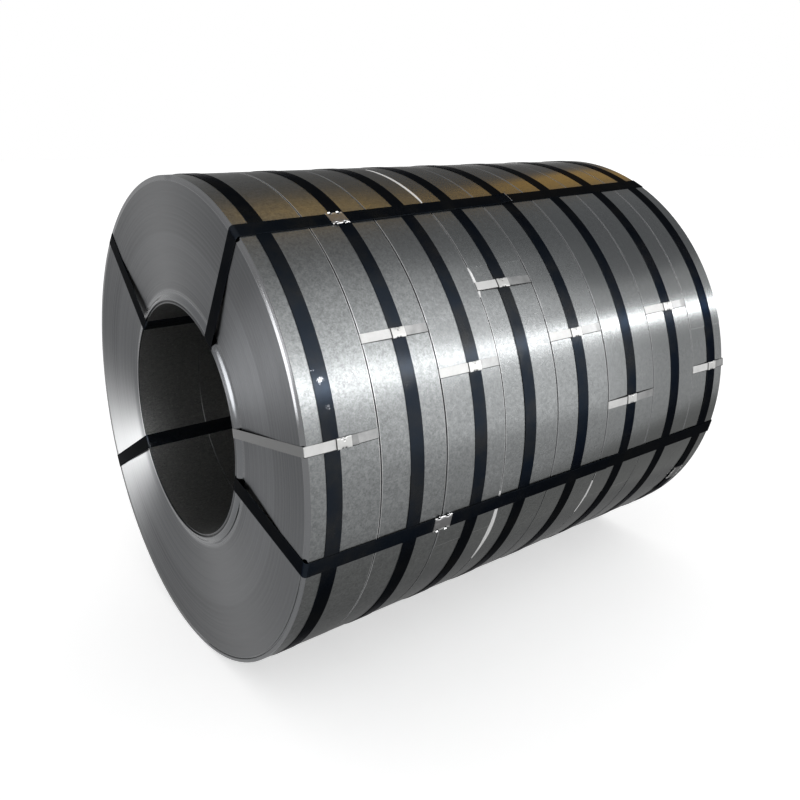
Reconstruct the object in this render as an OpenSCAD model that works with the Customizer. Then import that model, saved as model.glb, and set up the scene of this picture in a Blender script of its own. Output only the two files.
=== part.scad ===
// A pack of eight slit steel coils, eye to the side, held by steel strapping.
// X runs along the eye from the near end to the far end, Z is up,
// and the origin is on the axis at the middle of the pack.
// Clock angles go from the top towards the front (-Y).

/* [Slit coils] */
// Outside diameter of every coil
coil_d = 1050; // [800:5:1500]
// Diameter of the eye
eye_d = 508; // [406:1:610]
// Width of the strip in coils 1 to 4
narrow_w = 153; // [110:1:260]
// Width of the strip in coils 5 and 6
wide_w = 163; // [110:1:260]
// Width of the strip in coil 7
seventh_w = 157; // [110:1:260]
// Width of the strip in coil 8
last_w = 130; // [110:1:260]
// Space between neighbouring coils
coil_gap = 2; // [1.8:0.1:8]
// Thickness of the strip, which is the step at its tail
sheet_t = 1; // [0.5:0.1:2]

/* [Wound ends] */
// Groups of turns that show on an end
turn_groups = 16; // [6:1:24]
// Total sideways play of the groups of turns
turn_play = 0.5; // [0.2:0.1:0.8]

/* [Black strapping] */
// Width of the hoop straps and the eye straps
strap_w = 32; // [19:1:40]
// Thickness of the hoop straps and the eye straps
strap_t = 0.8; // [0.5:0.1:1]
// Length of a hoop strap's doubled end past its seal
strap_tail = 60; // [30:5:120]
// Length of a strap seal
strap_seal_len = 45; // [35:1:60]
// Sheet thickness of a strap seal
strap_seal_t = 0.9; // [0.6:0.1:1.2]

/* [Bright ties] */
// Width of the tie round each coil
tie_w = 19; // [12:1:25]
// Thickness of a tie
tie_t = 0.5; // [0.4:0.1:0.6]
// Length of the doubled tie past its seal
tie_tail = 22; // [10:1:35]
// Length of a tie seal
tie_seal_len = 36; // [25:1:45]
// Sheet thickness of a tie seal
tie_seal_t = 0.6; // [0.4:0.1:1]

/* [Fits] */
// Clearance between faces that lie on each other
fit = 0.1; // [0.05:0.01:0.2]
// Stand-off of the eye straps from the wound ends
end_clear = 0.6; // [0.4:0.1:1.5]

/* [Hidden] */
$fn = 120;
cut = 1;
coil_r = coil_d / 2;
eye_r = eye_d / 2;
strip_w = [narrow_w, narrow_w, narrow_w, narrow_w, wide_w, wide_w, seventh_w, last_w];
coils = len(strip_w);

// Where each coil starts and stands along the pack
function sum_to(i) = i == 0 ? 0 : sum_to(i - 1) + strip_w[i - 1] + coil_gap;
pack_l = sum_to(coils - 1) + strip_w[coils - 1];
coil_x = [for (i = [0:coils - 1]) sum_to(i) + strip_w[i] / 2 - pack_l / 2];

// Hand placing: tails, hoops, ties and seals sit where the packer happened to leave them
tail_deg = [230, 90.5, 112, 49.5, 262, 116, 208, 75];
hoop_shift = [-23, 5, 10, -6, -2, 0, 5, 11];
hoop_seal_deg = [256, 283, 268, 294, 262, 277, 290, 122];
tie_deg = [80, 61.5, 71.5, 54.5, 69, 88.5, 67.5, 86];
tie_seal_shift = [24, 2, 2, 2, 2, 2, 2, -2];
eye_deg = [29.8, 105, 241, 313];
eye_slant = [3.1, -0.5, 0, 0];
eye_seal_shift = [0, 6, 36, 14];
eye_tail = [460, 110, 90, 130];
hoop_x = [for (i = [0:coils - 1]) coil_x[i] + hoop_shift[i]];

// The eye seals sit over coil 2, the second one at the gap after it
gap_x = coil_x[1] + (strip_w[1] + coil_gap) / 2;
eye_seal_from = [coil_x[1], gap_x, coil_x[1], coil_x[1]];
eye_seal_x = eye_seal_from + eye_seal_shift;

// Turn of the tabs that crimping leaves beside its notches
tab_turn = 25;

// Radii of the layers, from the coil outwards
hoop_r = coil_r + fit;
hoop_top = hoop_r + strap_t;
over_r = hoop_top + fit;

// Stand-off of a tie's end legs, so that two neighbours pass in one gap
tie_clear = coil_gap / 2 - tie_t - fit;
eye_clear = turn_play / 2 + end_clear;
reach = coil_r * 1.2;

bright_grey = [0.66, 0.67, 0.67];
strap_black = [0.10, 0.10, 0.12];
tie_silver = [0.80, 0.80, 0.81];
seal_silver = [0.72, 0.72, 0.74];

// Largest inner radius of a bend round a square edge that lies g and h inside it
function bend_r(g, h) = g + h + sqrt(2 * g * h);

function names(word, n) = [for (i = [1:n]) str(word, "_", i)];

// Turns a local Z axis to the pack's X axis
module on_axis() {
    rotate([0, 90, 0]) children();
}

// Takes something made at the top to its place round and along the pack
module at_clock(clock, slant = 0, x = 0) {
    rotate([clock, 0, 0]) translate([x, 0, 0]) rotate([0, 0, slant]) children();
}

// Piece of a tube wall at the top of the pack: size[0] along X and size[1] across
module wall_plate(size, r_in, r_out) {
    intersection() {
        on_axis() difference() {
            cylinder(h = size[0], r = r_out, center = true);
            cylinder(h = size[0] + cut, r = r_in, center = true);
        }
        translate([-size[0] / 2 - cut, -size[1] / 2, 0]) cube([size[0] + 2 * cut, size[1], reach]);
    }
}

// Outline of the wound strip: two half rounds that leave one step at the tail
module wound_outline() {
    intersection() {
        circle(r = coil_r);
        translate([-reach, -reach]) square([2 * reach, reach]);
    }
    intersection() {
        translate([-sheet_t / 2, 0]) circle(r = coil_r - sheet_t / 2);
        translate([-reach, 0]) square([2 * reach, reach]);
    }
}

// Sideways place of each group of turns; the innermost one is central
function group_shift(i, k) = i == 0 ? 0 : turn_play / 2 * sin(137 * i + 61 * k);
function group_r(i) = eye_r + i * (coil_r - eye_r) / turn_groups;
function outer_r(i) = i == turn_groups - 1 ? coil_r + cut : group_r(i + 1);

module wound_section(w, k) {
    far_side = [for (i = [0:turn_groups - 1]) each [
        [group_r(i), w / 2 + group_shift(i, k)],
        [outer_r(i), w / 2 + group_shift(i, k)]
    ]];
    near_side = [for (i = [turn_groups - 1:-1:0]) each [
        [outer_r(i), -w / 2 + group_shift(i, k)],
        [group_r(i), -w / 2 + group_shift(i, k)]
    ]];
    polygon(concat(far_side, near_side));
}

module slit_coil(k) {
    w = strip_w[k];
    color(bright_grey) translate([coil_x[k], 0, 0]) on_axis() intersection() {
        rotate_extrude() wound_section(w, k);
        rotate([0, 0, tail_deg[k] + 180]) linear_extrude(w + 2 * cut, center = true) wound_outline();
    }
}

// Strap round one coil, with its doubled end under and past the seal
module hoop_strap(k) {
    lap_l = strap_seal_len + strap_tail;
    lap_turn = strap_tail / 2 / coil_r * 180 / PI;
    color(strap_black) translate([hoop_x[k], 0, 0]) on_axis()
        linear_extrude(strap_w, center = true) difference() {
            union() {
                circle(r = hoop_top);
                rotate(hoop_seal_deg[k] + lap_turn + 180) intersection() {
                    circle(r = hoop_top + strap_t);
                    translate([0, -lap_l / 2]) square([reach, lap_l]);
                }
            }
            circle(r = hoop_r);
        }
}

// Corner of a bend, cut off a square corner at the origin that points to +X +Y
module bend_cut(r) {
    translate([-r, -r]) difference() {
        square(r + cut);
        circle(r = r);
    }
}

// Half section of the space inside a loop, with its own bends at the eye and outside
module loop_space(r0, r1, half, eye_bend, out_bend) {
    difference() {
        translate([r0, -half]) square([r1 - r0, 2 * half]);
        for (side = [0, 1]) mirror([0, side]) {
            translate([r1, half]) bend_cut(out_bend);
            translate([r0, half]) mirror([1, 0]) bend_cut(eye_bend);
        }
    }
}

// Band that lies on the outside, goes down both ends and back through the eye.
// Its doubled end starts at lap_x from its middle and is lap_l long.
module eye_loop(half, w, t, clear, clock, slant, lap_x, lap_l) {
    eye_bend = bend_r(fit, clear - turn_play / 2);
    out_bend = bend_r(over_r - coil_r, clear - turn_play / 2);
    intersection() {
        on_axis() rotate_extrude() union() {
            difference() {
                loop_space(eye_r - fit - t, over_r + t, half + clear + t, eye_bend + t, out_bend + t);
                loop_space(eye_r - fit, over_r, half + clear, eye_bend, out_bend);
            }
            translate([over_r + t / 2, lap_x]) square([t * 3 / 2, lap_l]);
        }
        at_clock(clock, slant) translate([-pack_l, -w / 2, 0]) cube([2 * pack_l, w, reach]);
    }
}

// Folded cover crimped over two layers of band; across is true on a hoop
module crimp_seal(band_w, len, r_under, r_top, t, across) {
    wall = fit + t;
    body = across ? [band_w + 2 * wall, len] : [len, band_w + 2 * wall];
    room = across ? [band_w + 2 * fit, len + 2 * cut] : [len + 2 * cut, band_w + 2 * fit];
    notch_r = band_w / 9;
    tab = [band_w / 6, band_w / 8, t];
    turn = across ? 90 : 0;
    difference() {
        wall_plate(body, r_under, r_top + wall);
        wall_plate(room, r_under - cut, r_top + fit);
        rotate([0, 0, turn]) for (side = [-1, 1], end = [-1, 1])
            translate([end * len / 4, side * (band_w / 2 + wall), 0]) cylinder(h = reach, r = notch_r);
    }
    rotate([0, 0, turn]) for (side = [0, 1], end = [-1, 1])
        translate([end * (len / 4 + notch_r) - tab[0] / 2, 0, r_top + fit - t])
            mirror([0, side, 0]) translate([0, band_w / 2 + fit + t * sin(tab_turn), 0])
                rotate([tab_turn, 0, 0]) cube(tab);
}

module hoop_seal(k) {
    color(seal_silver) at_clock(hoop_seal_deg[k], 0, hoop_x[k])
        crimp_seal(strap_w, strap_seal_len, hoop_r, hoop_top + strap_t, strap_seal_t, true);
}

module tie(k) {
    lap_x = hoop_shift[k] + tie_seal_shift[k] - tie_seal_len / 2;
    color(tie_silver) translate([coil_x[k], 0, 0])
        eye_loop(strip_w[k] / 2, tie_w, tie_t, tie_clear, tie_deg[k], 0, lap_x, tie_seal_len + tie_tail);
}

module tie_seal(k) {
    color(seal_silver) at_clock(tie_deg[k], 0, hoop_x[k] + tie_seal_shift[k])
        crimp_seal(tie_w, tie_seal_len, over_r, over_r + 2 * tie_t, tie_seal_t, false);
}

module eye_strap(k) {
    color(strap_black) eye_loop(pack_l / 2, strap_w, strap_t, eye_clear, eye_deg[k], eye_slant[k],
        eye_seal_x[k] - strap_seal_len / 2, strap_seal_len + eye_tail[k]);
}

module eye_seal(k) {
    drift = asin(eye_seal_x[k] * tan(eye_slant[k]) / coil_r);
    color(seal_silver) at_clock(eye_deg[k] - drift, eye_slant[k], eye_seal_x[k])
        crimp_seal(strap_w, strap_seal_len, over_r, over_r + 2 * strap_t, strap_seal_t, false);
}

for (k = [0:coils - 1]) {
    slit_coil(k);
    hoop_strap(k);
    hoop_seal(k);
    tie(k);
    tie_seal(k);
}
for (k = [0:len(eye_deg) - 1]) {
    eye_strap(k);
    eye_seal(k);
}
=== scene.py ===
import math

import bpy
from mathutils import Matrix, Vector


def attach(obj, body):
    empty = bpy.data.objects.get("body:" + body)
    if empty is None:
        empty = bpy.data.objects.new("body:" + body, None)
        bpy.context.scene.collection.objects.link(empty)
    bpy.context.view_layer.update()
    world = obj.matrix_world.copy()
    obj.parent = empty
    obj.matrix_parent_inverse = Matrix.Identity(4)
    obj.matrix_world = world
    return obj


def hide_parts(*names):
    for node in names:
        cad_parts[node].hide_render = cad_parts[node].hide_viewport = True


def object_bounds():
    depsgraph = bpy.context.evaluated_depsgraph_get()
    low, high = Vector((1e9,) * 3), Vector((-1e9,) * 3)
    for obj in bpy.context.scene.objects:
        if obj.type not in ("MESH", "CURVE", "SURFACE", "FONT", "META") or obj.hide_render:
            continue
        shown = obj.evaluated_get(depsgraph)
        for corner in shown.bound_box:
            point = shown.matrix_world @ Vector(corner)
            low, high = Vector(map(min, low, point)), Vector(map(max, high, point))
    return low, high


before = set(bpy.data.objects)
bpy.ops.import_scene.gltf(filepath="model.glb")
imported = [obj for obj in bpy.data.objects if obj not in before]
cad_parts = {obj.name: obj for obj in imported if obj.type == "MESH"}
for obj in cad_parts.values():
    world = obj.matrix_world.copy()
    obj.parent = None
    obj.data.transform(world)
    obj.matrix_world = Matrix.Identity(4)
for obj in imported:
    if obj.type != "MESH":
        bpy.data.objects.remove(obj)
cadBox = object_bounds()
print("frame loaded:", len(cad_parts), "nodes")

mm = 0.001
white = (1.0, 1.0, 1.0)
scene = bpy.context.scene

# where everything sits along and round the pack, x in mm from the near end, clock in degrees from the top
pack = dict(
    length=1239, outerRadius=525, eyeRadius=254, gap=2,
    stripWidth=[153, 153, 153, 153, 163, 163, 157, 130],
    hoopX=[53.5, 236.5, 396.5, 535.5, 699.5, 866.5, 1033.5, 1185],
    tailClock=[230, 90.5, 112, 49.5, 262, 116, 208, 75],
    hoopSealClock=[256, 283, 268, 294, 262, 277, 290, 122],
    tieClock=[80, 61.5, 71.5, 54.5, 69, 88.5, 67.5, 86],
    tieSealShift=[24, 0, 0, 0, 0, -2, 0, -2],
    eyeClock=[29.8, 105, 241, 313], eyeSlant=[3.1, -0.5, 0, 0],
    eyeSealX=[231.5, 315, 267.5, 245.5], eyeTail=[460, 480, 90, 130],
)
coilCount, eyeCount = len(pack["stripWidth"]), len(pack["eyeClock"])
coilStart = [sum(pack["stripWidth"][:k]) + k * pack["gap"] for k in range(coilCount)]


def alongPack(x):  # mm from the near end to metres in the frame
    return (x - pack["length"] / 2) * mm


def softStep(value, width):
    t = min(1.0, max(0.0, value / width)) if width else 1.0
    return t * t * (3 - 2 * t)


# small helpers for node trees

class Wire:  # an output socket that takes plain arithmetic
    def __init__(self, tree, socket):
        self.tree, self.socket = tree, socket

    def math(self, operation, *others):
        node = self.tree.nodes.new("ShaderNodeMath")
        node.operation = operation
        for value, socket in zip((self, *others), node.inputs):
            plug(self.tree, value, socket)
        return Wire(self.tree, node.outputs[0])

    def __add__(self, other): return self.math("ADD", other)
    def __sub__(self, other): return self.math("SUBTRACT", other)
    def __mul__(self, other): return self.math("MULTIPLY", other)
    def __truediv__(self, other): return self.math("DIVIDE", other)
    def __lt__(self, other): return self.math("LESS_THAN", other)
    def __gt__(self, other): return self.math("GREATER_THAN", other)
    def inverse(self): return self * -1.0 + 1.0
    def pick(self, yes, no): return (self * yes) + (self.inverse() * no)
    def clamp(self): return self.math("MAXIMUM", 0.0).math("MINIMUM", 1.0)
    def bell(self, steep=1.0): return (self * self * -steep).math("EXPONENT")
    def within(self, rise, fall): return self.ramp(*rise) * self.ramp(*fall, 1.0, 0.0)

    def ramp(self, start, end, low=0.0, high=1.0):  # smooth step
        node = self.tree.nodes.new("ShaderNodeMapRange")
        node.interpolation_type = "SMOOTHSTEP"
        for value, socket in zip((self, start, end, low, high), node.inputs):
            plug(self.tree, value, socket)
        return Wire(self.tree, node.outputs[0])


def plug(tree, value, socket):
    if isinstance(value, Wire):
        tree.links.new(value.socket, socket)
    elif isinstance(value, bpy.types.NodeSocket):
        tree.links.new(value, socket)
    else:
        socket.default_value = value


def addNode(tree, kind, inputs=None, **settings):
    node = tree.nodes.new(kind)
    for key, value in settings.items():
        setattr(node, key, value)
    for key, value in (inputs or {}).items():
        plug(tree, value, node.inputs[key])
    return node


def joinXYZ(tree, x, y, z):
    return Wire(tree, addNode(tree, "ShaderNodeCombineXYZ", {0: x, 1: y, 2: z}).outputs[0])


def splitXYZ(tree, vector):
    node = addNode(tree, "ShaderNodeSeparateXYZ", {0: vector})
    return [Wire(tree, output) for output in node.outputs]


def pointXYZ(tree):  # where each point of the shape is
    return splitXYZ(tree, tree.nodes.new("GeometryNodeInputPosition").outputs[0])


def gridPlace(tree, rows):  # column and row of each point of a grid whose last row lies on its first
    index = Wire(tree, tree.nodes.new("GeometryNodeInputIndex").outputs[0])
    column = (index / (rows + 1.0) + 0.0001).math("FLOOR")
    return column, (index - column * (rows + 1.0)).math("MODULO", rows)


def waver(tree, along):  # smooth random value along a line
    node = addNode(tree, "ShaderNodeTexNoise", {"W": along, "Scale": 1.0}, noise_dimensions="1D")
    return Wire(tree, node.outputs["Fac"])


def mark(tree, geometry, name, value):  # a value on each point, which the finishes read by name
    return addNode(tree, "GeometryNodeStoreNamedAttribute", {"Geometry": geometry, "Name": name, "Value": value},
                   data_type="FLOAT", domain="POINT").outputs[0]


def newShapeTree(name, sizes, counts=(), materials=("Material",)):
    tree = bpy.data.node_groups.new(name, "GeometryNodeTree")
    tree.interface.new_socket(name="Geometry", in_out="INPUT", socket_type="NodeSocketGeometry")
    for kind, labels in (("Float", sizes), ("Int", counts), ("Material", materials)):
        for label in labels:
            tree.interface.new_socket(name=label, in_out="INPUT", socket_type="NodeSocket" + kind)
    tree.interface.new_socket(name="Geometry", in_out="OUTPUT", socket_type="NodeSocketGeometry")
    source = tree.nodes.new("NodeGroupInput")
    return tree, {s.name: Wire(tree, s) for s in source.outputs if s.name}


def endTree(tree, geometry, material, sharp=0.35, endMaterial=None, facingLimit=0.6):
    smooth = addNode(tree, "GeometryNodeSetShadeSmooth", {"Geometry": geometry})
    angle = tree.nodes.new("GeometryNodeInputMeshEdgeAngle")
    isSharp = Wire(tree, angle.outputs[0]) > sharp
    edges = addNode(tree, "GeometryNodeSetShadeSmooth",
                    {"Geometry": smooth.outputs[0], "Selection": isSharp, "Shade Smooth": False}, domain="EDGE")
    real = addNode(tree, "GeometryNodeRealizeInstances", {"Geometry": edges.outputs[0]})
    dressed = addNode(tree, "GeometryNodeSetMaterial", {"Geometry": real.outputs[0], "Material": material})
    if endMaterial:  # faces that look along the pack
        normalX = splitXYZ(tree, tree.nodes.new("GeometryNodeInputNormal").outputs[0])[0]
        facing = normalX.math("ABSOLUTE") > facingLimit
        dressed = addNode(tree, "GeometryNodeSetMaterial",
                          {"Geometry": dressed.outputs[0], "Selection": facing, "Material": endMaterial})
    sink = tree.nodes.new("NodeGroupOutput")
    tree.links.new(dressed.outputs[0], sink.inputs["Geometry"])
    return tree


def growPiece(name, tree, values, node, data=None):
    # runs a tree on an object of its own and keeps the result as a plain mesh
    base = bpy.data.objects.new(name + "Base", data or bpy.data.meshes.new(name + "Base"))
    scene.collection.objects.link(base)
    modifier = base.modifiers.new(name, "NODES")
    modifier.node_group = tree
    for socket in tree.interface.items_tree:
        if socket.in_out == "INPUT" and socket.name in values:
            modifier[socket.identifier] = values[socket.name]
    graph = bpy.context.evaluated_depsgraph_get()
    mesh = bpy.data.meshes.new_from_object(base.evaluated_get(graph), preserve_all_data_layers=True, depsgraph=graph)
    base.modifiers.remove(modifier)
    bpy.data.objects.remove(base)
    mesh.name = name
    piece = bpy.data.objects.new(name, mesh)
    scene.collection.objects.link(piece)
    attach(piece, "root")
    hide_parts(node)
    return piece


# finishes: lengths and radii in metres, pattern scales per metre, clocks in radians

def newFinish(name, **constants):
    material = bpy.data.materials.new(name)
    material.use_nodes = True
    tree = material.node_tree
    shader = tree.nodes["Principled BSDF"]
    for label, value in constants.items():
        shader.inputs[label.replace("_", " ")].default_value = value
    place = Wire(tree, tree.nodes.new("ShaderNodeTexCoord").outputs["Object"])
    return material, tree, shader, place


def noise(tree, vector, scale, detail=2.0, rough=0.5):
    node = addNode(tree, "ShaderNodeTexNoise",
                   {"Vector": vector, "Scale": scale, "Detail": detail, "Roughness": rough})
    return Wire(tree, node.outputs["Fac"])


def cells(tree, vector, scale):
    node = addNode(tree, "ShaderNodeTexVoronoi", {"Vector": vector, "Scale": scale})
    return splitXYZ(tree, node.outputs["Color"])[0]


def tint(tree, factor, dark, light):
    node = addNode(tree, "ShaderNodeMix", data_type="RGBA", clamp_factor=True)
    plug(tree, factor, node.inputs[0])
    for value, socket in ((dark, node.inputs[6]), (light, node.inputs[7])):
        plug(tree, value if isinstance(value, Wire) else (*value, 1.0), socket)
    return Wire(tree, node.outputs[2])


def bump(tree, shader, height, strength, distance):
    node = addNode(tree, "ShaderNodeBump", {"Height": height, "Strength": strength, "Distance": distance})
    tree.links.new(node.outputs[0], shader.inputs["Normal"])


def unrolled(tree, place):
    # x along the pack, length round the coil and radius, in metres
    x, y, z = splitXYZ(tree, place)
    radius = (y * y + z * z).math("SQRT")
    clock = (y * -1.0).math("ARCTAN2", z)
    return x, clock * (pack["outerRadius"] * mm), radius


def attribute(tree, name):
    return Wire(tree, addNode(tree, "ShaderNodeAttribute", attribute_name=name).outputs["Fac"])


def makeGalvanised():
    look = dict(dark=(0.079, 0.083, 0.084), light=(0.210, 0.217, 0.219), cut=(0.86, 0.86, 0.86),
                eyeDark=(0.14, 0.143, 0.143), eyeLight=(0.56, 0.56, 0.55), eyeWall=0.2555, smooth=0.19, rough=0.34,
                spangle=360.0, fine=640.0, cloud=95.0, blotch=9.0, mottle=190.0, streak=(240.0, 5.0))
    material, tree, shader, place = newFinish("galvanisedStrip")
    x, around, radius = unrolled(tree, place)
    sheet = joinXYZ(tree, x, around, radius)
    spangle = cells(tree, sheet, look["spangle"])
    fine = noise(tree, sheet, look["fine"], 3.0)
    blotch = noise(tree, sheet, look["blotch"], 2.0, 0.5)
    streak = noise(tree, joinXYZ(tree, x * look["streak"][0], around * look["streak"][1], 0.0), 1.0, 2.0)
    cloud = noise(tree, sheet, look["cloud"], 4.0, 0.65).ramp(0.3, 0.7)
    mixed = spangle * 0.28 + fine * 0.24 + cloud * 0.22 + blotch * 0.16 + streak * 0.10
    edge, dull = attribute(tree, "cutEdge"), attribute(tree, "dull")
    shade = (mixed - 0.5) * (dull * 0.75 + 0.55) + 0.5  # plainer where the sheet is shinier
    outside = tint(tree, shade, look["dark"], look["light"])
    mottle = noise(tree, joinXYZ(tree, x, around * 0.48, 0.0), look["mottle"], 4.0, 0.7).ramp(0.5, 0.8)
    eyeSide = tint(tree, shade * 0.6 + mottle * 0.5, look["eyeDark"], look["eyeLight"])
    steel = tint(tree, radius < look["eyeWall"], outside, eyeSide)
    # slit edges go near white and less metallic: partly bare steel, partly painted highlight
    plug(tree, tint(tree, edge, steel, look["cut"]), shader.inputs["Base Color"])
    plug(tree, edge * -0.8 + 1.0, shader.inputs["Metallic"])
    rough = (mixed - 0.5) * -0.12 + look["smooth"] + dull * (look["rough"] - look["smooth"])
    plug(tree, rough + edge * 0.2, shader.inputs["Roughness"])
    bump(tree, shader, spangle * 0.35 + fine * 0.5, 0.09, 0.0003)
    return material


def makeTurnEdges():
    look = dict(dark=(0.042, 0.043, 0.045), light=(0.136, 0.140, 0.146), fanHighlight=(0.56, 0.565, 0.57),
                glintColour=(0.30, 0.30, 0.305), paintedShade=(0.014, 0.014, 0.015), ringPitch=0.0011, ringWide=42.0, smear=6.0,
                fanHighlightClock=-2.0, paintedDimClock=1.12, shadeClock=-2.3, glintClock=0.95, paintedLiftClock=1.83, sector=0.34,
                innerTurns=(0.404, 0.410), fanDimRing=((0.281, 0.288), (0.296, 0.320)),
                eyeLip=((0.2600, 0.2640), (0.278, 0.288)), eyeGap=((0.2566, 0.2574), (0.2602, 0.2610)),
                rim=(0.5125, 0.514), shadedRim=(0.509, 0.515))
    material, tree, shader, place = newFinish("turnEdges", Metallic=1.0, Anisotropic=0.95)
    x, y, z = splitXYZ(tree, place)
    around, radius = unrolled(tree, place)[1:]
    clock = around / (pack["outerRadius"] * mm)

    def sector(label, steep=1.0):
        return ((clock - look[label]) / look["sector"]).bell(steep)

    ringFine = noise(tree, joinXYZ(tree, radius / look["ringPitch"], around * 0.4, x), 1.0, 1.0)
    ringWide = noise(tree, joinXYZ(tree, radius * look["ringWide"], 0.0, x), 1.0, 2.0)
    smear = noise(tree, joinXYZ(tree, x, y * look["smear"], z * look["smear"]), 1.0, 4.0, 0.6)
    inner = radius.ramp(*look["innerTurns"], 0.31, 0.18)
    fanHighlight = sector("fanHighlightClock") * (radius.within(*look["fanDimRing"]) * -0.6 + 1.0)  # painted highlight: a lighter sector where the turned end shows a fan of light, held back in one ring
    lip, rim = radius.within(*look["eyeLip"]), radius.ramp(*look["rim"])
    polish = lip + rim
    # painted shade: a darker sector on the upper right, off the lip and rim
    paintedDim = sector("paintedDimClock") * polish.inverse()
    # painted shade: a dark line round the rim on the lower left, and a dark ring in the gap behind the eye's turn
    paintedShade = sector("shadeClock", 0.13) * radius.ramp(*look["shadedRim"])
    gap = radius.within(*look["eyeGap"])
    # painted light: a lighter sector on the lower right
    paintedLift = sector("paintedLiftClock", 0.25)
    shade = ringFine * 0.04 + ringWide * 0.18 + smear * 0.31 + inner - paintedDim * 0.3 + paintedLift * 0.3
    steel = tint(tree, shade, look["dark"], look["light"])
    # painted highlight: the fan sector is lightened, more so on the lip
    highlighted = tint(tree, fanHighlight * (lip * 0.8 + 0.8), steel, look["fanHighlight"])
    edgeGlint = sector("glintClock", 0.22) * rim  # painted highlight on the rim bevel, upper right
    highlighted = tint(tree, edgeGlint * 0.28, highlighted, look["glintColour"])
    plug(tree, tint(tree, paintedShade * 0.95 + gap * 0.9, highlighted, look["paintedShade"]), shader.inputs["Base Color"])
    plug(tree, smear * 0.10 + 0.41 - polish * 0.26, shader.inputs["Roughness"])
    plug(tree, joinXYZ(tree, 0.0, y, z), shader.inputs["Tangent"])  # rough across the turns
    bump(tree, shader, ringFine * 0.5, 0.04, 0.0003)
    return material


def makeBlackStrap():
    look = dict(blued=(0.0125, 0.016, 0.0215), dusty=(0.022, 0.023, 0.024), bare=(0.36, 0.37, 0.39),
                dust=14.0, grain=600.0, scrape=130.0, scuffSize=(0.011, 0.007),
                # hoop, mm from its middle, degrees, strength
                scuffs=[(0, -2, 67.6, 1.0), (0, -13, 65.4, 0.6), (0, 4, 72.8, 0.55), (6, 2, 95.0, 0.6),
                        (4, 3, 69.5, 0.5)])
    material, tree, shader, place = newFinish("blackStrap", Metallic=0.75, IOR=1.05,
                                              Specular_Tint=(0.2, 0.2, 0.22, 1.0))
    x, around, radius = unrolled(tree, place)
    sheet = joinXYZ(tree, x, around, radius)
    dust = noise(tree, sheet, look["dust"], 5.0, 0.65)
    grain = noise(tree, sheet, look["grain"], 2.0)
    scrape = noise(tree, sheet, look["scrape"], 5.0, 0.7)
    wear = attribute(tree, "wear")
    scuff = (scrape - 0.5) * 3.0 - 0.15
    for hoop, across, clock, amount in look["scuffs"]:
        dx = (x - alongPack(pack["hoopX"][hoop] + across)) / look["scuffSize"][0]
        dy = (around - math.radians(clock) * pack["outerRadius"] * mm) / look["scuffSize"][1]
        scuff = scuff + ((dx * dx + dy * dy) * -1.0).math("EXPONENT") * amount
    scuff = scuff.ramp(0.45, 1.15)
    blued = tint(tree, dust.ramp(0.35, 0.75), look["blued"], look["dusty"])
    plug(tree, tint(tree, scuff + (wear > 0.95), blued, look["bare"]), shader.inputs["Base Color"])
    plug(tree, dust * 0.18 + grain * 0.08 + 0.115, shader.inputs["Roughness"])
    bump(tree, shader, grain * 0.5 + scrape * 0.5, 0.2, 0.0003)
    return material


def makeBrightTie():
    look = dict(dull=(0.17, 0.172, 0.172), bright=(0.56, 0.56, 0.555), legShade=(0.105, 0.106, 0.106),
                paintedShade=(0.012, 0.012, 0.012), patch=40.0, grain=700.0, legBelow=0.5235, shadeAbove=0.52,
                shadedEdge=(0.415, 0.45))
    material, tree, shader, place = newFinish("brightTie")
    x, around, radius = unrolled(tree, place)
    sheet = joinXYZ(tree, x, around, radius)
    patch = noise(tree, sheet, look["patch"], 4.0, 0.6)
    grain = noise(tree, sheet, look["grain"], 2.0)
    shine = attribute(tree, "shine")
    # the part marked shine is lighter and less metallic: partly its matte bare steel, partly painted highlight
    band = tint(tree, shine * 0.75 + (patch - 0.5) * 0.5 + grain * 0.12, look["dull"], look["bright"])
    band = tint(tree, (radius < look["legBelow"]) * 0.9, band, look["legShade"])  # painted shade: greyer between the coils and on the end
    paintedShade = attribute(tree, "across").ramp(*look["shadedEdge"]) * (radius > look["shadeAbove"])  # painted shadow along one edge, on the outside of the coil
    plug(tree, tint(tree, paintedShade, band, look["paintedShade"]), shader.inputs["Base Color"])
    plug(tree, shine * -0.6 + 0.95, shader.inputs["Metallic"])
    plug(tree, patch * 0.2 + shine * 0.15 + 0.28, shader.inputs["Roughness"])
    bump(tree, shader, grain, 0.15, 0.0002)
    return material


def makeSealSteel():
    look = dict(grey=(0.17, 0.168, 0.17), worn=(0.70, 0.70, 0.70), clean=(0.50, 0.50, 0.49),
                pitShade=(0.006, 0.006, 0.006), patch=160.0)
    material, tree, shader, place = newFinish("sealSteel")
    x, around, radius = unrolled(tree, place)
    patch = noise(tree, joinXYZ(tree, x, around, radius), look["patch"], 4.0, 0.65)
    worn, clean, pitShade = attribute(tree, "worn"), attribute(tree, "clean"), attribute(tree, "pitShade")
    plate = tint(tree, clean, look["grey"], look["clean"])
    glintColour = tint(tree, worn * (clean * -0.6 + 0.9) + (patch.ramp(0.4, 0.8) - 0.3) * 0.25, plate, look["worn"])
    # painted shade: dark where the seal is dimpled, notched and at its mouth
    plug(tree, tint(tree, pitShade, glintColour, look["pitShade"]), shader.inputs["Base Color"])
    plug(tree, clean * -0.55 + 0.9, shader.inputs["Metallic"])
    plug(tree, patch * 0.22 + 0.26, shader.inputs["Roughness"])
    bump(tree, shader, patch, 0.2, 0.0004)
    return material


galvanised, turnEdges = makeGalvanised(), makeTurnEdges()
blackStrap, brightTie, sealSteel = makeBlackStrap(), makeBrightTie(), makeSealSteel()
print("finishes made")


# slit coils: rows run up the near end and down the far end, columns run round the coil from the strip's tail

weldDistance = 0.000002  # closes seams and end caps


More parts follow.
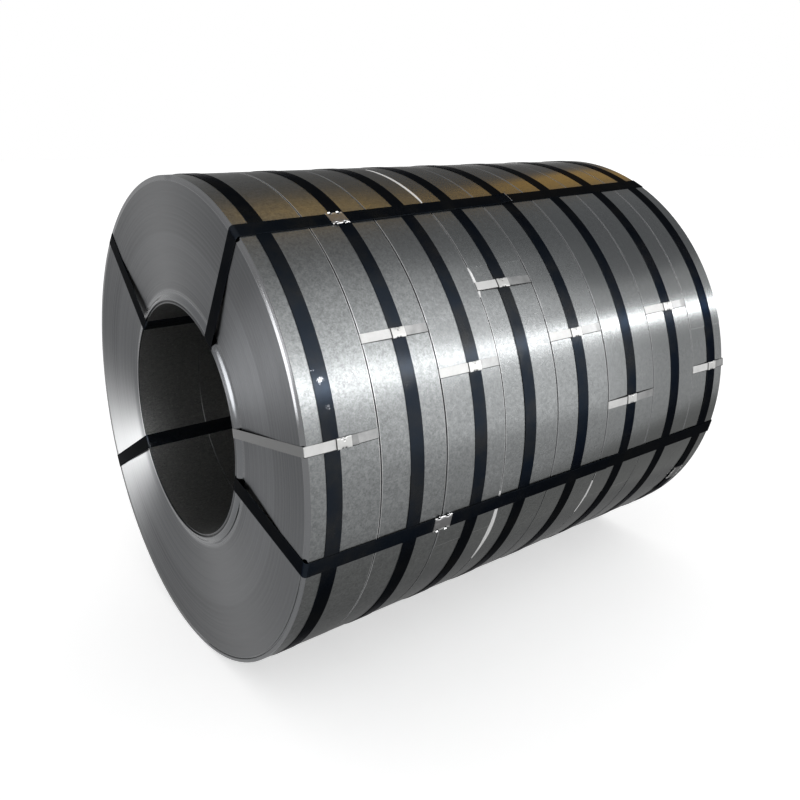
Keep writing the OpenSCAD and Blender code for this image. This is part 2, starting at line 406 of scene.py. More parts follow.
def woundCoilTree():
    tree, given = newShapeTree(
        "woundCoil",
        ["Near Side", "Width", "Outer Radius", "Eye Radius", "Turn Play", "Rim", "Edge Band", "Near Shown", "Far Shown",
         "Lip", "Lip Flat", "Lip Slope", "Dish Radius", "Bevel", "Bevel Width", "Bevel Clock", "Groove",
         "Groove Clock", "Far Creep", "Creep Clear", "Strip", "Tail Turn", "Tail Shine", "Seed", "Dull",
         "Near Shine", "Far Shine", "High From", "High To", "High Back", "Mid From", "Mid To", "Mid Back",
         "Low From", "Low To", "Low Back"],
        ["Near Turns", "Far Turns", "Around"], ["Material", "End Material"])
    nearRows = given["Near Turns"] * 2.0 + 2.0
    allRows = nearRows + given["Far Turns"] * 2.0 + 2.0
    grid = addNode(tree, "GeometryNodeMeshGrid", {"Vertices X": given["Around"] + 3.0, "Vertices Y": allRows + 1.0})
    column, row = gridPlace(tree, allRows)
    near = row < nearRows - 0.5
    fromEye = near.pick(row, allRows - row - 1.0)
    turns = near.pick(given["Near Turns"], given["Far Turns"])
    onEnd = fromEye < turns * 2.0 - 0.5
    step = fromEye.math("MINIMUM", turns * 2.0 - 1.0)
    turn = (step * 0.5).math("FLOOR")
    top = step - turn * 2.0
    depth = given["Outer Radius"] - given["Rim"] - given["Eye Radius"]
    endRadius = given["Eye Radius"] + depth * (turn + top * 0.94 + 0.03) / turns
    radius = onEnd.pick(endRadius, given["Outer Radius"])
    # each turn sits a little in or out, with a slow drift over many turns
    jump = Wire(tree, addNode(tree, "ShaderNodeTexWhiteNoise", {"W": turn + given["Seed"] * 17.0 + near * 5.0},
                              noise_dimensions="1D").outputs["Value"])
    drift = waver(tree, turn / turns * 7.0 + given["Seed"] * 3.0)
    inset = given["Turn Play"] * (jump * 0.6 + drift * 0.4)
    # the outside winds in by one strip thickness from the tail
    last = column > given["Around"] + 1.5
    beforeTail = (column > given["Around"] - 0.5) * (column < given["Around"] + 0.5)
    share = column.math("MINIMUM", given["Around"]) / given["Around"] - beforeTail * 0.0004
    outside = fromEye > turns * 2.0 - 1.5
    radius = radius - outside * given["Strip"] * last.pick(1.0, share.inverse())
    clock = given["Tail Turn"] + share * (2 * math.pi)
    hour = clock.math("MODULO", 2 * math.pi)

    def hoursFrom(label):
        return (hour - given[label]).math("ABSOLUTE")

    # a shown end is dished inside the dish radius, with a lip round the eye and a bevel at the rim
    shown = near.pick(given["Near Shown"], given["Far Shown"])
    fromLip = (endRadius - given["Eye Radius"] - given["Lip Flat"]) / given["Lip Slope"]
    flank = fromLip.ramp(0.0, 1.0, 0.0, 0.88) + fromLip.ramp(0.7, 3.0, 0.0, 0.12)
    dishSpan = given["Dish Radius"] - given["Eye Radius"] - given["Lip Flat"] - given["Lip Slope"] * 2.8
    dish = ((given["Dish Radius"] - endRadius) / dishSpan).clamp()
    mouth = (turn < 0.5) * top * 0.25
    fromBevel = (endRadius - given["Outer Radius"] + given["Bevel Width"]) / (given["Bevel Width"] * 0.32)
    bevel = fromBevel.clamp() * 0.56 + (fromBevel - 1.0).math("MAXIMUM", 0.0) * 0.207
    # one turn sits deep behind the eye's own turn, and two more for part of the way round
    deepInner = (turn > 0.5) * (turn < 1.5)
    deepOuter = (turn > turns - 3.5) * (turn < turns - 2.5) * 0.6 * hoursFrom("Groove Clock").ramp(0.45, 0.7, 1.0, 0.0)
    slippedHours = (hour - given["Groove Clock"] + 0.1).math("ABSOLUTE")
    slipped = (turn > 5.5) * (turn < 6.5) * slippedHours.ramp(0.25, 0.4, 0.6, 0.0)
    inset = inset + shown * given["Groove"] * (deepInner + deepOuter + slipped)
    # a group of turns can creep out towards the next coil, clear of the ties
    crept = near.inverse() * (turn > turns - 2.5) * (turn < turns - 1.5) * hoursFrom("Creep Clear").ramp(0.2, 0.3)
    inset = inset - given["Far Creep"] * crept
    bevelDepth = given["Bevel"] * hoursFrom("Bevel Clock").ramp(0.9, 1.7, 1.0, 0.04)
    inset = inset + shown * (given["Lip"] * (flank * dish + mouth) + bevelDepth * bevel)
    wall = fromEye > turns * 2.0 + 0.5
    wallInset = wall.pick(given["Edge Band"], given["Rim"]) + bevelDepth * shown
    # bare slit edges, lighter than the sheet and partly painted highlight, brighter in three runs where the outermost
    # wrap stands back, and the bare cut at the tail
    edgeGlint = waver(tree, clock * 9.0 + given["Seed"] * 5.0)
    shine = near.pick(given["Near Shine"], given["Far Shine"]) * (edgeGlint * 1.2 + 0.4)
    for label, flat in (("High", 0.75), ("Mid", 0.8), ("Low", 0.0)):
        start, end = given[label + " From"], given[label + " To"]
        halfRun = (end - start) * 0.5
        fromRun = (hour - start - halfRun).math("ABSOLUTE") / halfRun
        wallInset = wallInset + near * given[label + " Back"] * fromRun.ramp(flat, 1.0, 1.0, 0.0)
        shine = shine + near * (hour > start) * (hour < end)
    cutEdge = outside * wall.inverse() * shine
    tailCutGlint = outside * (column > given["Around"] + 0.5) * last.inverse() * given["Tail Shine"]
    cutEdge = cutEdge.math("MAXIMUM", tailCutGlint).math("MINIMUM", 1.0)
    inset = onEnd.pick(inset, wallInset)
    x = given["Near Side"] + near.pick(inset, given["Width"] - inset)
    spot = joinXYZ(tree, x, radius * clock.math("SINE") * -1.0, radius * clock.math("COSINE"))
    marked = mark(tree, mark(tree, grid.outputs[0], "cutEdge", cutEdge), "dull", given["Dull"])
    placed = addNode(tree, "GeometryNodeSetPosition", {"Geometry": marked, "Position": spot})
    closed = addNode(tree, "GeometryNodeMergeByDistance", {"Geometry": placed.outputs[0], "Distance": weldDistance})
    return endTree(tree, closed.outputs[0], given["Material"], endMaterial=given["End Material"])


coilLook = dict(shownTurns=84, hiddenTurns=16, play=0.1, rim=1.0, edgeBand=2.0, lip=7.2, lipFlat=8.6, lipSlope=14.0,
                dishRadius=440, bevel=4.5, bevelWidth=10.8, bevelClock=75, groove=3.5, grooveClock=138,
                farCreep={3: 1.8}, strip=0.7, around=240, dull=[1.0, 0.95, 0.7, 0.6, 0.45, 0.2, 0.1, 0.1],
                nearShine=[0.0, 0.7, 0.45, 0.5, 0.35, 0.35, 0.3, 0.35],
                farShine=[0.7, 0.3, 0.5, 0.3, 0.35, 0.3, 0.35, 0.0],
                tailShine=[0.0, 0.08, 0.35, 0.0, 0.0, 0.25, 0.0, 0.2],
                spread=[0, 0.3, 0, 0.3, 0, 0, 0.1, 0.3, 0],  # how far the strip edges stand into each gap, mm
                # runs by coil, in degrees, and how far the wrap stands back there, mm
                highRun={2: (33, 50), 3: (4, 29)}, midRun={3: (49.6, 56.6)},
                lowRun={1: (109, 124), 3: (99, 127), 5: (106, 126)},
                highBack={3: 3.6}, midBack={3: 3.2}, lowBack={3: 9.0, 5: 3.0})
noRun = (-2, -1)  # clocks that no point has
coilTree = woundCoilTree()
for k in range(coilCount):
    into, beyond = coilLook["spread"][k], coilLook["spread"][k + 1]
    first, final = k == 0, k == coilCount - 1
    values = {
        "Near Side": alongPack(coilStart[k] - into), "Width": (pack["stripWidth"][k] + into + beyond) * mm,
        "Outer Radius": pack["outerRadius"] * mm, "Eye Radius": pack["eyeRadius"] * mm,
        "Near Turns": coilLook["shownTurns"] if first else coilLook["hiddenTurns"],
        "Far Turns": coilLook["shownTurns"] if final else coilLook["hiddenTurns"],
        "Turn Play": coilLook["play"] * mm, "Rim": coilLook["rim"] * mm, "Edge Band": coilLook["edgeBand"] * mm,
        "Near Shown": float(first), "Far Shown": float(final), "Lip": coilLook["lip"] * mm,
        "Lip Flat": coilLook["lipFlat"] * mm, "Lip Slope": coilLook["lipSlope"] * mm,
        "Dish Radius": coilLook["dishRadius"] * mm, "Bevel": coilLook["bevel"] * mm,
        "Bevel Width": coilLook["bevelWidth"] * mm, "Bevel Clock": math.radians(coilLook["bevelClock"]),
        "Groove": coilLook["groove"] * mm, "Groove Clock": math.radians(coilLook["grooveClock"]),
        "Far Creep": coilLook["farCreep"].get(k, 0.0) * mm,
        "Creep Clear": math.radians(sum(pack["tieClock"][k:k + 2]) / 2),
        "Strip": coilLook["strip"] * mm, "Tail Turn": math.radians(pack["tailClock"][k]),
        "Tail Shine": coilLook["tailShine"][k], "Around": coilLook["around"], "Seed": float(k),
        "Dull": coilLook["dull"][k], "Near Shine": coilLook["nearShine"][k], "Far Shine": coilLook["farShine"][k],
        "Material": galvanised, "End Material": turnEdges,
    }
    for label in ("High", "Mid", "Low"):
        start, end = coilLook[label.lower() + "Run"].get(k, noRun)
        values[label + " From"], values[label + " To"] = math.radians(start), math.radians(end)
        values[label + " Back"] = coilLook[label.lower() + "Back"].get(k, 0.0) * mm
    growPiece(f"slitCoil{k + 1}", coilTree, values, f"slit_coil_{k + 1}")
print("slit coils wound")


# bands: a flat band swept along a path drawn in a plane, then laid on the coil

def pathCurve(name, points):
    curve = bpy.data.curves.new(name, "CURVE")
    curve.dimensions = "3D"
    spline = curve.splines.new("POLY")
    spline.points.add(len(points) - 1)
    for spot, point in zip(points, spline.points):
        point.co = (spot[0] * mm, spot[1] * mm, 0.0, 1.0)
    return curve


def roundCorners(corners, steps=6):
    # corners are (x, y, bend radius); returns the points of the bent path
    points = []
    for n, (x, y, bend) in enumerate(corners):
        if bend <= 0 or n in (0, len(corners) - 1):
            points.append((x, y))
            continue
        ax, ay = corners[n - 1][0] - x, corners[n - 1][1] - y
        bx, by = corners[n + 1][0] - x, corners[n + 1][1] - y
        la, lb = math.hypot(ax, ay), math.hypot(bx, by)
        half = math.acos(max(-1.0, min(1.0, (ax * bx + ay * by) / (la * lb)))) / 2
        if half > math.pi / 2 - 0.002:  # already straight
            points.append((x, y))
            continue
        reach = min(bend / math.tan(half), la * 0.45, lb * 0.45)
        for step in range(steps + 1):
            t = step / steps
            wa, wb = (1 - t) ** 2 * reach / la, t ** 2 * reach / lb
            points.append((x + ax * wa + bx * wb, y + ay * wa + by * wb))
    return points


def sweptBand(tree, given):
    curve = addNode(tree, "GeometryNodeSetCurveNormal", {"Curve": given["Geometry"]}, mode="Z_UP")
    section = addNode(tree, "GeometryNodeCurvePrimitiveQuadrilateral",
                      {"Width": given["Thickness"], "Height": given["Width"]})
    soft = addNode(tree, "GeometryNodeFilletCurve",
                   {"Curve": section.outputs[0], "Count": 2, "Radius": given["Thickness"] * 0.35}, mode="POLY")
    return addNode(tree, "GeometryNodeCurveToMesh",
                   {"Curve": curve.outputs[0], "Profile Curve": soft.outputs[0], "Fill Caps": True}).outputs[0]


def hoopTree():
    tree, given = newShapeTree("hoopBand", ["Centre", "Width", "Thickness"])
    x, y, z = pointXYZ(tree)
    spot = joinXYZ(tree, given["Centre"] + z, x, y)
    laid = addNode(tree, "GeometryNodeSetPosition", {"Geometry": sweptBand(tree, given), "Position": spot})
    return endTree(tree, laid.outputs[0], given["Material"])


def eyeBandTree():
    tree, given = newShapeTree("eyeBand", ["Clock", "Slant", "Seal", "Width", "Thickness", "Bare From", "Bare Above",
                                           "Shine Above", "Dark Side"])
    band = sweptBand(tree, given)
    x, y, z = pointXYZ(tree)
    side = z * -1.0 + x * given["Slant"].math("TANGENT")
    up = (y * y - side * side).math("SQRT")
    sine, cosine = given["Clock"].math("SINE"), given["Clock"].math("COSINE")
    spot = joinXYZ(tree, x, side * cosine - up * sine, side * sine + up * cosine)
    shine = (x < given["Seal"]) * (y > given["Shine Above"])
    bare = (x > given["Bare From"]) * (y > given["Bare Above"])
    for label, value in (("shine", shine), ("wear", bare), ("across", z / given["Width"] * given["Dark Side"])):
        band = mark(tree, band, label, value)
    laid = addNode(tree, "GeometryNodeSetPosition", {"Geometry": band, "Position": spot})
    return endTree(tree, laid.outputs[0], given["Material"])


hoopLook = dict(width=32, thickness=0.8, gap=0.1, layer=0.15, tail=60, seal=45, lift=1.6,
                step=1.5, climbFrom=354, climb=5, free=4)  # the last four in degrees
hoopTreeMade, eyeTreeMade = hoopTree(), eyeBandTree()
for k in range(coilCount):
    inner = pack["outerRadius"] + hoopLook["gap"] + hoopLook["thickness"] / 2
    lapTurn = math.degrees((hoopLook["tail"] + hoopLook["seal"] / 2) / inner)
    under = math.degrees(hoopLook["seal"] / 2 / inner)
    start = pack["hoopSealClock"][k] - under
    turn = 360 + under + lapTurn
    count = round(turn / hoopLook["step"])
    points = []
    for n in range(count + 1):
        swing = turn * n / count
        over = softStep(swing - hoopLook["climbFrom"], hoopLook["climb"])
        free = min(1.0, max(0.0, (swing - turn + hoopLook["free"]) / hoopLook["free"]))
        radius = inner + over * (hoopLook["thickness"] + hoopLook["layer"]) + free * free * hoopLook["lift"]
        clock = math.radians(start + swing)
        points.append((-radius * math.sin(clock), radius * math.cos(clock)))
    growPiece(f"hoopStrap{k + 1}", hoopTreeMade, {
        "Centre": alongPack(pack["hoopX"][k]), "Width": hoopLook["width"] * mm,
        "Thickness": hoopLook["thickness"] * mm, "Material": blackStrap,
    }, f"hoop_strap_{k + 1}", pathCurve(f"hoopPath{k + 1}", points))
print("hoop straps laid")

nowhere = 9.0  # metres, past every point of the pack
eyeLook = dict(width=32, thickness=0.8, layer=0.15, over=526.4, eye=253.5, clear=1.3, bend=9.0, eyeBend=5.0,
               start=18, riseFrom=30, riseTo=20, riseBend=30, sealHalf=22.5,
               lift=[4.0, 0.6, 3.0, 3.0], liftLength=32, liftBend=60, bareLength=9, bareRise=1.2)
for k in range(eyeCount):
    near, far = -pack["length"] / 2 - eyeLook["clear"], pack["length"] / 2 + eyeLook["clear"]
    seal = pack["eyeSealX"][k] - pack["length"] / 2
    low, high = eyeLook["over"], eyeLook["over"] + eyeLook["thickness"] + eyeLook["layer"]
    end = seal + eyeLook["sealHalf"] + pack["eyeTail"][k]
    points = roundCorners([
        (seal - eyeLook["start"], low, 0), (far, low, eyeLook["bend"]), (far, eyeLook["eye"], eyeLook["eyeBend"]),
        (near, eyeLook["eye"], eyeLook["eyeBend"]), (near, low, eyeLook["bend"]),
        (seal - eyeLook["riseFrom"], low, eyeLook["riseBend"]), (seal - eyeLook["riseTo"], high, eyeLook["riseBend"]),
        (end - eyeLook["liftLength"], high, eyeLook["liftBend"]), (end, high + eyeLook["lift"][k], 0)])
    growPiece(f"eyeStrap{k + 1}", eyeTreeMade, {
        "Clock": math.radians(pack["eyeClock"][k]), "Slant": math.radians(pack["eyeSlant"][k]), "Seal": -nowhere,
        "Bare From": (end - eyeLook["bareLength"]) * mm, "Bare Above": (high + eyeLook["bareRise"]) * mm,
        "Shine Above": 0.0, "Dark Side": 1.0,
        "Width": eyeLook["width"] * mm, "Thickness": eyeLook["thickness"] * mm, "Material": blackStrap,
    }, f"eye_strap_{k + 1}", pathCurve(f"eyePath{k + 1}", points))
print("eye straps laid")

tieLook = dict(width=19, thickness=0.5, layer=0.1, over=527.2, surface=525.5, eye=253.6, clear=0.65, bend=2.0,
               start=14, hoopHalf=18, riseBend=30, seal=32, shineDrop=0.6,
               tail=[12, 5, 5, 5, 46, 5, 30, 5], lift=[4.0, 0.2, 0.2, 0.2, 3.0, 0.2, 4.0, 0.2],
               darkSide=[1.0, 1.0, 1.0, 1.0, 1.0, -1.0, 1.0, 1.0])
for k in range(coilCount):
    near = coilStart[k] - pack["length"] / 2 - tieLook["clear"]
    far = coilStart[k] + pack["stripWidth"][k] - pack["length"] / 2 + tieLook["clear"]
    hoop = pack["hoopX"][k] - pack["length"] / 2
    seal = hoop + pack["tieSealShift"][k]
    sealEnd = seal + tieLook["seal"] / 2
    low, high = tieLook["over"], tieLook["over"] + tieLook["thickness"] + tieLook["layer"]
    leftRise, rightRise = min(hoop, seal) - tieLook["hoopHalf"], max(hoop, seal) + tieLook["hoopHalf"]
    points = roundCorners([
        (seal - tieLook["start"], low, 0), (rightRise, low, tieLook["riseBend"]),
        (far, tieLook["surface"], tieLook["bend"]), (far, tieLook["eye"], tieLook["bend"]),
        (near, tieLook["eye"], tieLook["bend"]), (near, tieLook["surface"], tieLook["bend"]),
        (leftRise, high, tieLook["riseBend"]), (sealEnd, high, 0),
        (sealEnd + tieLook["tail"][k], high + tieLook["lift"][k], 0)])
    growPiece(f"tie{k + 1}", eyeTreeMade, {
        "Clock": math.radians(pack["tieClock"][k]), "Slant": 0.0, "Seal": seal * mm,
        "Bare From": nowhere, "Bare Above": nowhere,
        "Shine Above": (tieLook["surface"] - tieLook["shineDrop"]) * mm, "Dark Side": tieLook["darkSide"][k],
        "Width": tieLook["width"] * mm, "Thickness": tieLook["thickness"] * mm, "Material": brightTie,
    }, f"tie_{k + 1}", pathCurve(f"tiePath{k + 1}", points))
print("ties laid")


# crimped seals: a folded sleeve with two notches a side and the tabs that crimping turns out

def sealTree(name, tabbed, across=56, along=28, sharp=0.9):
    tree, given = newShapeTree(name, ["Length", "Band Width", "Wall", "Height", "Base Radius", "Notch", "Notch Place",
                                      "Dimple", "Clean", "Centre", "Clock", "Slant", "Round The Coil"])
    halfWidth = given["Band Width"] * 0.5 + given["Wall"]
    section = addNode(tree, "GeometryNodeCurvePrimitiveQuadrilateral",
                      {"Width": halfWidth * 2.0, "Height": given["Height"]})
    soft = addNode(tree, "GeometryNodeFilletCurve",
                   {"Curve": section.outputs[0], "Count": 3, "Radius": given["Height"] * 0.35}, mode="POLY")
    even = addNode(tree, "GeometryNodeResampleCurve", {"Curve": soft.outputs[0], "Count": across}, mode="COUNT")
    grid = addNode(tree, "GeometryNodeMeshGrid", {"Vertices X": along + 3, "Vertices Y": across + 1})
    column, row = gridPlace(tree, float(across))
    here = tree.nodes.new("GeometryNodeInputPosition").outputs[0]
    ring = addNode(tree, "GeometryNodeSampleIndex", {"Geometry": even.outputs[0], "Index": row},
                   data_type="FLOAT_VECTOR", domain="POINT")
    plug(tree, here, ring.inputs["Value"])
    cross, tall = splitXYZ(tree, ring.outputs[0])[:2]
    share = (column - 1.0).math("MAXIMUM", 0.0).math("MINIMUM", float(along)) / float(along)
    run = (share - 0.5) * given["Length"]
    capped = (column < 0.5) + (column > along + 1.5)
    # notches pinch the sides in near each end and press the edges down
    away = (run.math("ABSOLUTE") - given["Length"] * given["Notch Place"]) / (given["Notch"] * 1.2)
    pinch = away.bell()
    edge = (cross.math("ABSOLUTE") / halfWidth).ramp(0.55, 1.0)
    pinched = cross * (pinch * edge * -1.0 * given["Notch"] / halfWidth + 1.0)
    dotRun, dotCross = run - given["Length"] * 0.04, cross - halfWidth * 0.45
    dotSize = given["Notch"] * given["Notch"] * 0.5
    dimple = ((dotRun * dotRun + dotCross * dotCross) / dotSize * -1.0).math("EXPONENT")
    upper = tall > 0.0
    pressed = tall + given["Height"] * 0.5 - upper * given["Height"] * (dimple * given["Dimple"] + pinch * edge * 0.45)
    sleeveSpot = joinXYZ(tree, run, pinched * capped.inverse(), capped.pick(given["Height"] * 0.5, pressed))
    worn = (edge * 0.8 + pinch * edge).math("MINIMUM", 1.0)
    lowCut = (cross < 0.0) * pinch * edge
    mouth = run < given["Length"] * -0.46
    # painted shade in the dimple, the lower notches and the sleeve's mouth
    pitShade = (upper * dimple + lowCut + mouth) * (given["Dimple"] > 0.0)
    marked = grid.outputs[0]
    for label, value in (("worn", worn), ("pitShade", pitShade), ("clean", given["Clean"])):
        marked = mark(tree, marked, label, value)
    sleeve = addNode(tree, "GeometryNodeSetPosition", {"Geometry": marked, "Position": sleeveSpot})
    merged = addNode(tree, "GeometryNodeMergeByDistance", {"Geometry": sleeve.outputs[0], "Distance": weldDistance})
    whole = addNode(tree, "GeometryNodeFlipFaces", {"Mesh": merged.outputs[0]}).outputs[0]
    if not tabbed:
        return endTree(tree, laidSeal(tree, given, whole), given["Material"], sharp)
    # tabs stand at the notches, turned outwards
    spots = addNode(tree, "GeometryNodeMeshGrid", {"Size X": given["Length"] * 0.5, "Size Y": halfWidth * 2.0,
                                                   "Vertices X": 2, "Vertices Y": 2})
    tabSize = joinXYZ(tree, given["Notch"] * 1.5, given["Notch"] * 0.9, given["Wall"])
    tab = addNode(tree, "GeometryNodeMeshCube", {"Size": tabSize})
    lean = joinXYZ(tree, (pointXYZ(tree)[1] > 0.0) * 1.3 - 0.65, 0.0, 0.0)
    tabs = addNode(tree, "GeometryNodeInstanceOnPoints",
                   {"Points": spots.outputs[0], "Instance": tab.outputs[0], "Rotation": lean})
    rise = joinXYZ(tree, 0.0, 0.0, given["Height"] * 0.75)
    lifted = addNode(tree, "GeometryNodeTransform", {"Geometry": tabs.outputs[0], "Translation": rise})
    solidTabs = addNode(tree, "GeometryNodeRealizeInstances", {"Geometry": lifted.outputs[0]})
    both = tree.nodes.new("GeometryNodeJoinGeometry")
    tree.links.new(whole, both.inputs[0])
    tree.links.new(mark(tree, solidTabs.outputs[0], "worn", 1.0), both.inputs[0])
    return endTree(tree, laidSeal(tree, given, both.outputs[0]), given["Material"], sharp)


def laidSeal(tree, given, flat):
    # bends a flat seal onto the coil, along the pack or round it
    run, cross, tall = pointXYZ(tree)
    level = given["Base Radius"] + tall
    flip = given["Round The Coil"]
    sine, cosine = given["Slant"].math("SINE"), given["Slant"].math("COSINE")
    x = given["Centre"] + flip.pick(cross * -1.0, run * cosine - cross * sine)
    side = flip.pick(run, run * sine + cross * cosine)
    turned = given["Clock"] - side / given["Base Radius"]
    spot = joinXYZ(tree, x, level * turned.math("SINE") * -1.0, level * turned.math("COSINE"))
    return addNode(tree, "GeometryNodeSetPosition", {"Geometry": flat, "Position": spot}).outputs[0]


strapSealTree, tieSealTree = sealTree("strapSeal", True), sealTree("tieSeal", False)
strapSeal = dict(length=45, band=32, wall=0.9, notch=4.0, notchPlace=0.25, dimple=0.0, clean=0.0, drop=0.9,
                 hoopHeight=3.0, eyeHeight=3.2, eyeLength=[40, 43, 45, 45], eyeShift=[-4, -3, 0, 0])
tieSeal = dict(length=32, band=19, wall=0.6, notch=1.8, notchPlace=0.1, dimple=0.5, clean=1.0, drop=0.9, height=2.8)


def sealValues(look, length, height, base, centre, clock, slant=0.0, roundCoil=0.0):
    return {
        "Length": length * mm, "Band Width": look["band"] * mm, "Wall": look["wall"] * mm, "Height": height * mm,
        "Base Radius": base * mm, "Notch": look["notch"] * mm, "Notch Place": look["notchPlace"],
        "Dimple": look["dimple"], "Clean": look["clean"], "Centre": centre, "Clock": clock, "Slant": slant,
        "Round The Coil": roundCoil, "Material": sealSteel}


for k in range(coilCount):
    growPiece(f"hoopSeal{k + 1}", strapSealTree, sealValues(
        strapSeal, strapSeal["length"], strapSeal["hoopHeight"], pack["outerRadius"], alongPack(pack["hoopX"][k]),
        math.radians(pack["hoopSealClock"][k]), roundCoil=1.0), f"hoop_seal_{k + 1}")
    growPiece(f"tieSeal{k + 1}", tieSealTree, sealValues(
        tieSeal, tieSeal["length"], tieSeal["height"], tieLook["over"] - tieSeal["drop"],
        alongPack(pack["hoopX"][k] + pack["tieSealShift"][k]), math.radians(pack["tieClock"][k])),
        f"tie_seal_{k + 1}")
for k in range(eyeCount):
    seal = alongPack(pack["eyeSealX"][k] + strapSeal["eyeShift"][k])
    slant = math.radians(pack["eyeSlant"][k])
    drift = math.asin(seal * math.tan(slant) / (pack["outerRadius"] * mm))
    growPiece(f"eyeSeal{k + 1}", strapSealTree, sealValues(
        strapSeal, strapSeal["eyeLength"][k], strapSeal["eyeHeight"], eyeLook["over"] - strapSeal["drop"], seal,
        math.radians(pack["eyeClock"][k]) - drift, slant), f"eye_seal_{k + 1}")
print("seals crimped")


# stage, light and camera

def seenRays(tree):  # what the camera, a mirror or glass sees
    rays = tree.nodes.new("ShaderNodeLightPath")
    seen = Wire(tree, rays.outputs["Is Camera Ray"])
    for label in ("Is Glossy Ray", "Is Transmission Ray"):
        seen = seen.math("MAXIMUM", rays.outputs[label])
    return seen


def makeFloor():
    look = dict(size=60.0, colour=(0.82, 0.82, 0.82), rough=0.9, glow=0.54)
    level, half = cadBox[0].z, look["size"] / 2
    corners = [(-half, -half, level), (half, -half, level), (half, half, level), (-half, half, level)]
    mesh = bpy.data.meshes.new("floor")
    mesh.from_pydata(corners, [], [(0, 1, 2, 3)])
    floor = bpy.data.objects.new("floor", mesh)
    scene.collection.objects.link(floor)
    material = bpy.data.materials.new("paleFloor")
    material.use_nodes = True
    tree = material.node_tree
    shader = tree.nodes["Principled BSDF"]
    shader.inputs["Base Color"].default_value = (*look["colour"], 1.0)
    shader.inputs["Roughness"].default_value = look["rough"]
    shader.inputs["Emission Color"].default_value = (*white, 1.0)
    plug(tree, seenRays(tree) * look["glow"], shader.inputs["Emission Strength"])
    mesh.materials.append(material)


def makeWorld():
    look = dict(fill=0.7, back=1.0)
    world = bpy.data.worlds.new("studio")
    scene.world = world
    world.use_nodes = True
    tree = world.node_tree
    tree.nodes.clear()
    fill, back = (addNode(tree, "ShaderNodeBackground", {"Color": (*white, 1.0), "Strength": look[label]})
                  for label in ("fill", "back"))
    mix = addNode(tree, "ShaderNodeMixShader", {0: seenRays(tree), 1: fill.outputs[0], 2: back.outputs[0]})
    sink = tree.nodes.new("ShaderNodeOutputWorld")
    tree.links.new(mix.outputs[0], sink.inputs["Surface"])


def makeCard(name, rings, shade, strength=1.0, fade=None, cover=None):
    # plain sheet through rings of points, seen only in reflections
    # it can melt into the floor between two y values, or go clear where its points' cover falls
    floorShade = (1.1, 1.1, 1.1)
    mesh = bpy.data.meshes.new(name)
    count = len(rings[0])
    faces = [(n * count + m, n * count + m + 1, (n + 1) * count + m + 1, (n + 1) * count + m)
             for n in range(len(rings) - 1) for m in range(count - 1)]
    mesh.from_pydata([point for ring in rings for point in ring], [], faces)
    card = bpy.data.objects.new(name, mesh)
    scene.collection.objects.link(card)
    material = bpy.data.materials.new(name)
    material.use_nodes = True
    tree = material.node_tree
    tree.nodes.clear()
    glow = addNode(tree, "ShaderNodeEmission", {"Color": (*shade, 1.0), "Strength": strength})
    if fade:
        y = splitXYZ(tree, tree.nodes.new("ShaderNodeTexCoord").outputs["Object"])[1]
        plug(tree, tint(tree, y.ramp(*fade), shade, floorShade), glow.inputs["Color"])
    surface = glow.outputs[0]
    if cover:
        mesh.attributes.new("cover", "FLOAT", "POINT").data.foreach_set("value", cover)
        clear = tree.nodes.new("ShaderNodeBsdfTransparent")
        mix = addNode(tree, "ShaderNodeMixShader", {0: attribute(tree, "cover"), 1: clear.outputs[0], 2: surface})
        surface = mix.outputs[0]
    sink = tree.nodes.new("ShaderNodeOutputMaterial")
    tree.links.new(surface, sink.inputs["Surface"])
    mesh.materials.append(material)
    card.visible_camera = card.visible_diffuse = card.visible_shadow = card.visible_transmission = False


def addCard(name, side, height, distance, shade, strength=1.0, soft=None, columns=12, rows=8):
    # card on part of a dome, side and height in degrees, with edges that can go soft over some degrees
    rings, cover = [], []
    for n in range(columns + 1):
        turn = math.radians(side[0] + (side[1] - side[0]) * n / columns)
        rises = [math.radians(height[0] + (height[1] - height[0]) * m / rows) for m in range(rows + 1)]
        if soft:
            reach = side[1] - math.degrees(turn)
            cover += [softStep(reach, soft[0]) * softStep(math.degrees(rise) - height[0], soft[1])
                      * softStep(height[1] - math.degrees(rise), soft[2]) for rise in rises]
        rings.append([(distance * math.cos(rise) * math.sin(turn), -distance * math.cos(rise) * math.cos(turn),
                       distance * math.sin(rise)) for rise in rises])
    makeCard(name, rings, shade, strength, cover=cover)


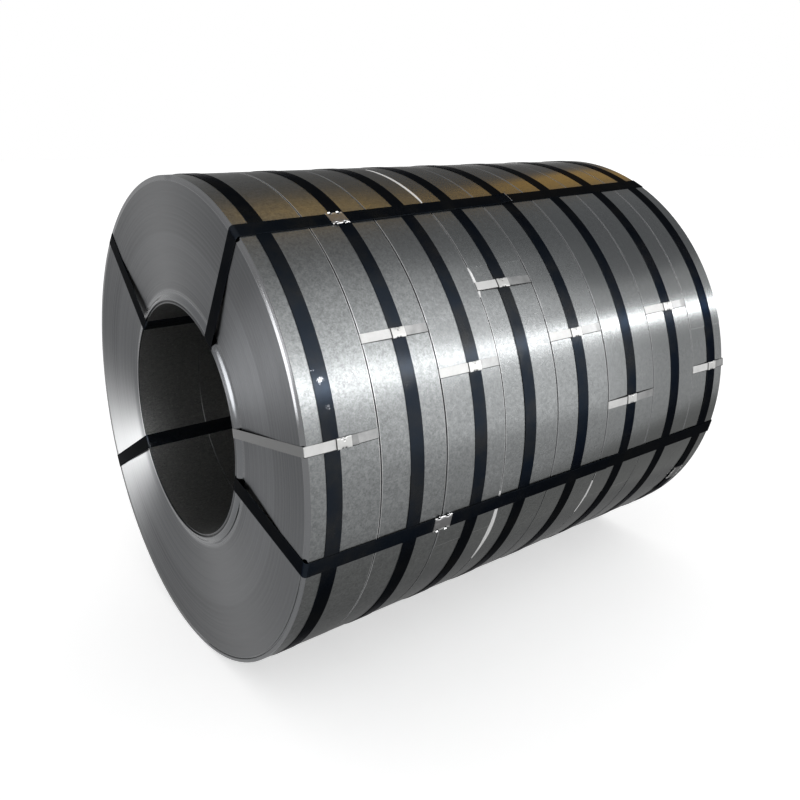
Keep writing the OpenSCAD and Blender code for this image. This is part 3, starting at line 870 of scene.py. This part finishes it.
makeFloor()
makeWorld()
addCard("rightFlag", (40, 112), (25, 86), 12.0, (0.36, 0.37, 0.38), soft=(0, 0, 24))
addCard("backFlag", (108, 184), (2, 86), 12.0, (0.16, 0.16, 0.16), soft=(34, 9, 26))
addCard("warmCard", (111, 123), (24, 46), 10.0, (0.74, 0.46, 0.15))
addCard("warmCardTop", (114, 138), (51, 59), 10.0, (0.95, 0.58, 0.12), 2.3)
makeCard("leftSoftbox", [[(-2.15, y, 0.08), (-2.15, y, 0.92)] for y in (-0.95, 0.25)], white, 9.5)
addCard("upperGlow", (18, 53), (25, 40), 11.0, white, 3.2)
addCard("upperGlowTop", (18, 62), (40, 54), 11.0, white, 2.0)
addCard("upperGlowEnd", (18, 70), (54, 66), 11.0, white, 0.9)
addCard("lowGlow", (12, 44), (-13, 12), 2.1, white, 2.5)
longSides = ((-1.2, 1.02, 1.58), (2.5, 1.08, 1.32), (6.5, 1.08, 1.32))  # x, bottom and top
makeCard("longSoftbox", [[(x, -3.1, low), (x, -3.1, high)] for x, low, high in longSides], white, 22.0)
makeCard("softHalo", [[(x, -3.14, 0.85), (x, -3.14, 1.60)] for x in (-1.2, 2.5, 6.5)], white, 2.0)
# dark sheets on the floor beside the coil, seen only in reflections: painted shade of the floor there
flagTop = cadBox[0].z + 0.004
flagFronts = ((-0.55, -0.75), (0.5, -0.8), (2.4, -1.25))  # x and front edge
makeCard("floorFlag", [[(x, front, flagTop), (x, -0.3, flagTop)] for x, front in flagFronts], (0.40, 0.40, 0.39))
makeCard("floorFlagBack", [[(x, -0.45, flagTop + 0.002), (x, 0.25, flagTop + 0.002)] for x, front in flagFronts],
         (0.26, 0.26, 0.26), fade=(-0.30, 0.24))

shot = dict(spot=(-1.2696, -1.6163, 0.6154), yaw=0.6428, pitch=0.2282, focalPixels=815.54, axisX=387.67, axisY=318.54,
            image=800, sensor=36.0)
data = bpy.data.cameras.new("photoCamera")
data.sensor_width = shot["sensor"]
data.lens = shot["sensor"] * shot["focalPixels"] / shot["image"]
data.shift_x = (shot["image"] / 2 - shot["axisX"]) / shot["image"]
data.shift_y = (shot["axisY"] - shot["image"] / 2) / shot["image"]
camera = bpy.data.objects.new("photoCamera", data)
camera.location = shot["spot"]
camera.rotation_euler = (math.pi / 2 - shot["pitch"], 0.0, -shot["yaw"])
scene.collection.objects.link(camera)
scene.camera = camera
scene.view_settings.view_transform = "Standard"
